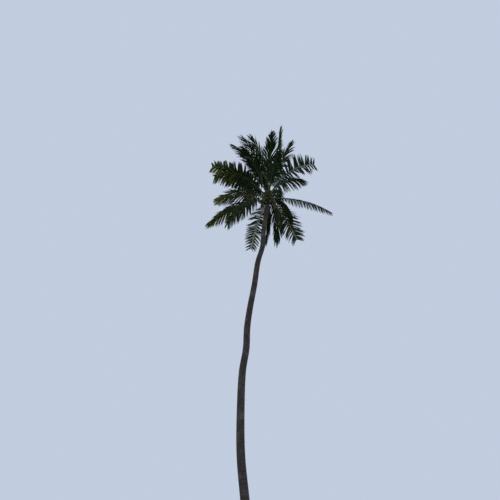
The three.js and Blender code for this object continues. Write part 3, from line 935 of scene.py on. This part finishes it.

# %% Colours dealt out
# Young fronds are fresh green, grown ones deep green, and the oldest turn olive with dry tips.
# lit is painted light, the yellow-green of the sun shining through a leaflet
LEAF_COLOURS = dict(
    deep="2a3d22", middle="385027", fresh="526b2f", olive="5d6431", lit="a3ad4e", dry="7d6e45",
)
COLOUR_NUMBER = {name: number for number, name in enumerate(LEAF_COLOURS)}
AGES = [  # share of the fronds, from the oldest, and the colours of their leaflets and tips
    (0.2, ("middle", "olive", "deep"), ("olive", "olive", "middle", "middle", "dry")),
    (0.5, ("deep", "middle", "deep"), ("middle", "deep", "olive")),
    (0.8, ("deep", "middle", "middle"), ("middle", "fresh", "middle")),
    (1.0, ("middle", "fresh", "middle"), ("fresh", "fresh", "middle")),
]
COLOUR_SEED = 500  # each frond counts on from it
TIP_START, LIT_START = (0.5, 0.95), 0.3  # where a leaflet's tip colour starts along it
LIT_RISE, LIT_LATE, LIT_MOST = 2.2, 0.9, 0.9  # how the share of sunlit leaflets grows with place


def deal_colours(order, place, lit=0, **_):
    """Each leaflet's colour number, its tip's, and the share of its length where its tip starts."""
    random = np.random.default_rng(COLOUR_SEED + order)
    age = order / (len(FRONDS) - 1)
    _, leaves, tips = next(row for row in AGES if age <= row[0])
    leaf = random.choice([COLOUR_NUMBER[name] for name in leaves], len(place))
    tip = random.choice([COLOUR_NUMBER[name] for name in tips], len(place))
    # Painted light: sunlit leaflets, more towards the frond's tip, get a fresh green length and lit
    # tip
    lit_share = lit * np.clip(LIT_RISE * place - LIT_LATE, 0, LIT_MOST)
    sunny = random.uniform(0, 1, len(place)) < lit_share
    leaf[sunny] = COLOUR_NUMBER["fresh"]
    tip[sunny] = COLOUR_NUMBER["lit"]
    tip_start = np.where(sunny, LIT_START, random.uniform(*TIP_START, len(place)))
    return leaf, tip, tip_start


template_points, template_corners, template_sizes = leaflet_template
corner_rings = np.rint(template_points[template_corners, 2]).astype(int)
face_starts = np.cumsum(template_sizes) - template_sizes
face_share = np.add.reduceat(leaflet_shares[corner_rings], face_starts) / template_sizes
print("a leaflet's faces lie at shares of its length of", np.unique(np.round(face_share, 2)))

# %% Grow every frond's leaflets
leaflet_points, leaflet_colours = [], []
for order, (frond, rib) in enumerate(zip(FRONDS, ribs)):
    shape, place = grow_leaflets(rib, order, **frond)
    placed = skin_leaflets(*shape)
    kept = clear_of_trunk(placed)
    leaf, tip, tip_start = deal_colours(order, place, **frond)
    colours = np.where(face_share > tip_start[:, None], tip[:, None], leaf[:, None])
    leaflet_points.append(placed[kept])
    leaflet_colours.append(colours[kept])
print(sum(len(points) for points in leaflet_points), "leaflets kept")

# %% [markdown]
# ### Leaf green
# A leaflet is thin, tough and waxed: a satin green. Which green it is depends on its frond's age,
# and on painted light: where the sun shines through a leaflet, its length is painted a fresher green
# and its tip a glowing yellow-green. So there are six colours with a material each, and every
# leaflet was dealt one for its length and one for its tip. Within a colour, patches about a hand
# across make it a little lighter or darker. Its veins are a millimetre apart, too fine to show on a
# tree, and left out.

# %% Leaf materials
PATCHES_PER_METRE = 7
SHADE, LIGHT = 0.62, 1.35  # how dark and how light they are beside the colour itself
FRONDS_PER_PIECE = 9


def make_leaf(name, colour):
    material, shader, place = new_material(f"palm_leaf_{name}", {
        "IOR": 1.45, "Specular IOR Level": 0.3,
    })
    patches = add_node(material, "TexNoise", {
        "Vector": place, "Scale": PATCHES_PER_METRE, "Detail": 3,
    }).outputs["Fac"]
    *rgb, opacity = linear(colour)
    green = add_node(material, "Mix", {
        MIX_FACTOR: patches,
        MIX_FIRST: [value * SHADE for value in rgb] + [opacity],
        MIX_SECOND: [value * LIGHT for value in rgb] + [opacity],
    }, data_type="RGBA").outputs[MIX_COLOUR]
    roughness = add_node(material, "MapRange", {
        VALUE: patches, TO_LOW: 0.46, TO_HIGH: 0.62,
    }).outputs[0]
    set_sockets(material, shader, {"Base Color": green, "Roughness": roughness})
    return material


leaf_materials = [make_leaf(name, colour) for name, colour in LEAF_COLOURS.items()]
for first in range(0, len(FRONDS), FRONDS_PER_PIECE):
    group = slice(first, first + FRONDS_PER_PIECE)
    name = f"leaflets_of_fronds_{first + 1:02d}_to_{first + FRONDS_PER_PIECE:02d}"
    mesh = join_copies(name, leaflet_template, np.concatenate(leaflet_points[group]))
    mesh.polygons.foreach_set("material_index", np.concatenate(leaflet_colours[group]).ravel())
    add_piece(name, mesh, leaf_materials, frond_nodes[group])

# %% [markdown]
# ## Spear leaf
# The youngest leaf stands upright in the middle, still folded shut like a fan: a slender pleated
# spear of the palest green. A tube with every second side pulled in gives the pleats.

# %% Spear leaf
SPEAR_FOOT = 1.5  # just inside the sheaths' top
SPEAR_LENGTH = 2.75
SPEAR_SHAPE = [  # share of its length, radius
    (0, 0.045), (0.12, 0.05), (0.5, 0.036), (0.8, 0.02), (1, 0.001),
]
SPEAR_SIDES = 28
SPEAR_ROWS = 40
PLEAT = 0.16
SPEAR_TWIST = 0.7  # radians, from foot to tip


def build_spear():
    template = template_of(ring_tube(SPEAR_SIDES, SPEAR_ROWS + 1, pointed=True))
    x, y, ring = template[0].T
    share = ring / SPEAR_ROWS
    angle = np.arctan2(y, x)
    side = np.rint(angle * SPEAR_SIDES / TURN).astype(int)
    radius = read_at(SPEAR_SHAPE, share, 1) * np.where(side % 2, 1 + PLEAT, 1 - PLEAT)
    radius = np.where(np.hypot(x, y) < 0.5, 0, radius)  # the tip is a point
    angle += SPEAR_TWIST * share
    height = SPEAR_FOOT + SPEAR_LENGTH * share
    placed = np.stack([radius * np.cos(angle), radius * np.sin(angle), height], axis=1)
    return join_copies("spear", template, (placed + CROWN)[None])


spear_leaf = make_leaf("spear_pale", "8f9a55")
add_piece("spear_leaf_pleated", build_spear(), [spear_leaf], ["spear_leaf"])

# %% [markdown]
# ## Nuts
# Under the lowest fronds hang the bunches: a curved stalk with thin twigs, a few full-grown nuts
# and some small ones that have just set. A nut in its husk is an egg with three blunt corners and a
# cap of scales where it hangs. It starts as a sphere whose points are moved by a rule, and the
# same template serves all of them at their own size and tilt.

# %% Nut and cap templates
NUT_LENGTH, NUT_WIDTH = 0.26, 0.2
NUT_SIDES, NUT_ROWS = 18, 12
CORNER = 0.06  # how far the three corners stand out
FULLER = 0.1  # how much the nut is fuller below its middle than above
LONGER = 1.05  # its lower half beside its upper one
NUT_TOP = 0.47  # over its middle, just under the cap
CAP_RINGS = [  # radius, height
    (0.02, 0.03), (0.2, 0.025), (0.3, -0.03), (0.325, -0.09), (0.29, -0.085),
]
CAP_SIDES, CAP_WAVE = 12, 0.12


def nut_template():
    """A nut of unit length and width, which hangs from the origin."""
    bm = bmesh.new()
    bmesh.ops.create_uvsphere(bm, u_segments=NUT_SIDES, v_segments=NUT_ROWS, radius=0.5)
    for vert in bm.verts:
        x, y, z = vert.co
        corners = CORNER * math.cos(3 * math.atan2(y, x))
        wider = 1 + corners - FULLER * z * (0.5 - abs(z))
        vert.co = (x * wider, y * wider, z * (LONGER if z < 0 else 1) - NUT_TOP)
    return template_of(bm)


def cap_template():
    """The cap of scales: a wavy cup turned upside down over the nut's top."""
    bm = ring_tube(CAP_SIDES, len(CAP_RINGS))
    for vert in bm.verts:
        radius, height = CAP_RINGS[round(vert.co.z)]
        angle = math.atan2(vert.co.y, vert.co.x)
        radius *= 1 + CAP_WAVE * math.cos(3 * angle)
        vert.co = (radius * math.cos(angle), radius * math.sin(angle), height)
    bmesh.ops.recalc_face_normals(bm, faces=bm.faces)
    return template_of(bm)


nut, cap = nut_template(), cap_template()
print("a nut has", len(nut[2]), "faces, its cap", len(cap[2]))

# %% Shapes of a bunch
BUNCHES_TOWARD = (308, 234, 164, 94, 22)
BUNCH_HEIGHT = 0.19
BUNCH_STALK = [  # distance from the middle, rise
    (0.06, 0), (0.205, 0.035), (0.305, -0.025), (0.35, -0.17), (0.35, -0.36),
]
NEARLY_UP = UPWARD + 0.01  # never along a stalk, not even along one that hangs straight down


def tilted(points, turn, tilt):
    """Points leaned outwards by a tilt, in the direction of a turn."""
    outward = heading(turn)
    along = points @ outward
    height = points[:, 2]
    return (points - np.outer(along, outward) - np.outer(height, UPWARD)
            + np.outer(along * math.cos(tilt) - height * math.sin(tilt), outward)
            + np.outer(along * math.sin(tilt) + height * math.cos(tilt), UPWARD))


def tube_along(template, line, radii):
    """A tube template's points laid round a line, with its own radius at each ring."""
    points = template[0]
    ring = np.rint(points[:, 2]).astype(int)
    way = unit(np.gradient(line, axis=0))
    side = unit(np.cross(way, NEARLY_UP))
    over = np.cross(side, way)
    thick = np.asarray(radii)[ring][:, None]
    return line[ring] + thick * (points[:, :1] * side[ring] + points[:, 1:2] * over[ring])


def bunch_line(toward):
    """The middle line of a bunch's stalk, as a function of the share along it."""
    out = heading(math.radians(toward))
    knots = [out * distance + UPWARD * (BUNCH_HEIGHT + rise) for distance, rise in BUNCH_STALK]
    return lambda shares: spline(knots, shares) + CROWN


print(len(BUNCHES_TOWARD), "bunches to grow")

# %% What hangs on a stalk
STALK_SIDES, STALK_RINGS, STALK_RADII = 10, 17, (0.027, 0.012)
NUT_PLACES = (0.9, 0.66, 0.9, 0.66)  # where along the stalk the full-grown nuts hang
NUT_OFFSET, NUT_TILT = 0.068, 0.35
NUT_RAISED = 0.25  # how far its top is over its place on the stalk, as a share of its length
YOUNG_NUTS, YOUNG_SIZES, YOUNG_PLACES = 6, (0.25, 0.45), (0.4, 0.75)
YOUNG_OFFSET, YOUNG_TILT, YOUNG_CAP = 0.06, 0.6, 1.3  # a young nut's cap is large for it
TWIGS, TWIG_SIDES, TWIG_RINGS, TWIG_RADII = 12, 5, 6, (0.006, 0.003)
TWIG_PLACES, TWIG_REACH, TWIG_DROP = (0.45, 0.98), (0.1, 0.16), (0.08, 0.2)
stalk_tube = template_of(ring_tube(STALK_SIDES, STALK_RINGS))
twig_tube = template_of(ring_tube(TWIG_SIDES, TWIG_RINGS))
print("a stalk has", len(stalk_tube[2]), "faces, a twig", len(twig_tube[2]))

# %% Grow the bunches
bunch_random = np.random.default_rng(31)
stalks, twigs, nuts, caps, nut_ages = [], [], [], [], []


def hang_nut(top, turn, tilt, grown=1, cap_size=1):
    size = np.array([NUT_WIDTH, NUT_WIDTH, NUT_LENGTH]) * grown
    nuts.append(tilted(nut[0] * size, turn, tilt) + top)
    caps.append(tilted(cap[0] * NUT_WIDTH * grown * cap_size, turn, tilt) + top)
    nut_ages.append(int(grown < 1))


for order, toward in enumerate(BUNCHES_TOWARD):
    line_at = bunch_line(toward)
    shares = np.linspace(0, 1, STALK_RINGS)
    stalks.append(tube_along(stalk_tube, line_at(shares), blend(*STALK_RADII, shares)))
    for number, share in enumerate(NUT_PLACES):
        turn = TURN * number / len(NUT_PLACES) + order
        top = line_at([share])[0] + NUT_OFFSET * heading(turn) + UPWARD * NUT_RAISED * NUT_LENGTH
        hang_nut(top, turn, NUT_TILT)
    for number in range(YOUNG_NUTS):
        turn = TURN * number / YOUNG_NUTS + 2 * order
        grown = bunch_random.uniform(*YOUNG_SIZES)
        top = line_at([bunch_random.uniform(*YOUNG_PLACES)])[0] + YOUNG_OFFSET * heading(turn)
        hang_nut(top, turn, YOUNG_TILT, grown, YOUNG_CAP)
    for _ in range(TWIGS):
        outward = heading(bunch_random.uniform(0, TURN))
        root = line_at([bunch_random.uniform(*TWIG_PLACES)])[0]
        reach, drop = bunch_random.uniform(*TWIG_REACH), bunch_random.uniform(*TWIG_DROP)
        steps = np.linspace(0, 1, TWIG_RINGS)[:, None]
        line = root + outward * reach * steps - UPWARD * drop * steps ** 2
        twigs.append(tube_along(twig_tube, line, np.linspace(*TWIG_RADII, TWIG_RINGS)))
print(len(nuts), "nuts,", len(twigs), "twigs")

# %% [markdown]
# ### Husk and stalk
# The husk is smooth and leathery, green on young nuts and turning yellow and brown with age, with
# scuffs that go through to the fibre. Its colours are darker than a husk's own, as painted shade,
# since the bunches hang in the shade of the crown. Stalk, twigs and caps are woody and dull.

# %% Husk material
TINTS_PER_METRE = 5  # one side of a nut ripens before the other
SCUFFS_PER_METRE = 42  # they are two or three centimetres across


def make_husk(name, fresh, ripe):
    material, shader, place = new_material(name, {
        "IOR": 1.45, "Coat Weight": 0.15, "Coat Roughness": 0.4,
    })
    tint = add_node(material, "TexNoise", {
        "Vector": place, "Scale": TINTS_PER_METRE, "Detail": 4,
    }).outputs["Fac"]
    scuffs = add_node(material, "TexNoise", {
        "Vector": place, "Scale": SCUFFS_PER_METRE, "Detail": 5,
    }).outputs["Fac"]
    ripened = add_node(material, "MapRange", {
        VALUE: tint, FROM_LOW: 0.4, FROM_HIGH: 0.65,
    }).outputs[0]
    skin = add_node(material, "Mix", {
        MIX_FACTOR: ripened, MIX_FIRST: linear(fresh), MIX_SECOND: linear(ripe),
    }, data_type="RGBA").outputs[MIX_COLOUR]
    scuffed = add_node(material, "MapRange", {
        VALUE: scuffs, FROM_LOW: 0.6, FROM_HIGH: 0.68, TO_HIGH: 0.8,
    }).outputs[0]
    colour = add_node(material, "Mix", {
        MIX_FACTOR: scuffed, MIX_FIRST: skin, MIX_SECOND: linear("57452a"),
    }, data_type="RGBA").outputs[MIX_COLOUR]
    roughness = add_node(material, "MapRange", {
        VALUE: scuffs, TO_LOW: 0.35, TO_HIGH: 0.7,
    }).outputs[0]
    bump = add_node(material, "Bump", {"Height": scuffs, "Strength": 0.25, "Distance": 0.002})
    set_sockets(material, shader, {
        "Base Color": colour, "Roughness": roughness, "Normal": bump.outputs[0],
    })
    return material


# Both husks' hues are their own, but darkened as painted shade for the nuts hanging in shade
husk_grown = make_husk("nut_husk_grown", "39451e", "564c24")
husk_young = make_husk("nut_husk_young", "415125", "545b2e")
print("husk materials:", husk_grown.name, "and", husk_young.name)

# %% Nuts, stalks, twigs and caps as pieces
bunch_nodes = [f"nut_bunch_{order + 1}" for order in range(len(BUNCHES_TOWARD))]
nut_mesh = join_copies("nuts", nut, np.array(nuts), smooth=True)
nut_mesh.polygons.foreach_set("material_index", np.repeat(nut_ages, len(nut[2])))
add_piece("nuts_in_husk", nut_mesh, [husk_grown, husk_young], bunch_nodes)
woody_mesh = join_meshes("bunch_wood", [
    join_copies("stalks", stalk_tube, np.array(stalks), smooth=True),
    join_copies("twigs", twig_tube, np.array(twigs), smooth=True),
    join_copies("caps", cap, np.array(caps), smooth=True),
])
bunch_wood = make_rib_skin("bunch_stalk_woody", "6d6136", "7b6a42")
add_piece("bunch_stalks_and_caps", woody_mesh, [bunch_wood], bunch_nodes)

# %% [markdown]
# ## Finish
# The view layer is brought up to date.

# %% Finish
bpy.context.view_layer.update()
